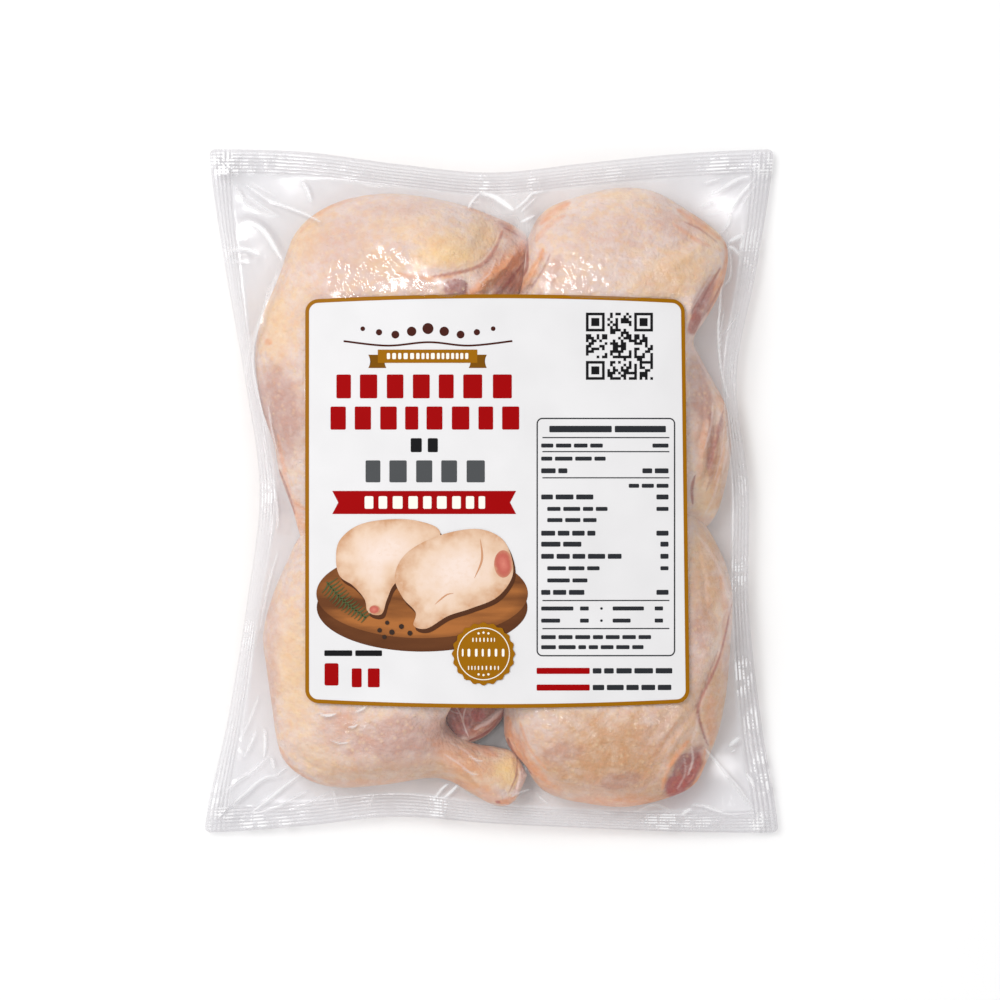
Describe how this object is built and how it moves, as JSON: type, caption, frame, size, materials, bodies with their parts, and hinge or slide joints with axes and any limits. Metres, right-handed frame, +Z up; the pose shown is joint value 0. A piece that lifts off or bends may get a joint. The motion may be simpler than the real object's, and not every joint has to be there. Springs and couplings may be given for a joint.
{
  "type": "pack of raw chicken leg quarters",
  "caption": "Flat clear bag with a ribbed seal all round, filled with plump raw chicken leg quarters, under a large rounded paper label.",
  "frame": {"origin": "middle of the bag's outline, on the surface that the bag lies on", "axes": "+X across the bag, +Y along it towards the top of the label, +Z up, out of the label's printed face"},
  "size_m": [0.304, 0.362, 0.0498],
  "materials": {
    "film": "clear gloss",
    "label": "satin",
    "print": "satin",
    "skin": "wet",
    "cut_meat": "wet"
  },
  "bodies": {
    "root": {"bag": "film", "label": "label"}
  },
  "joints": []
}
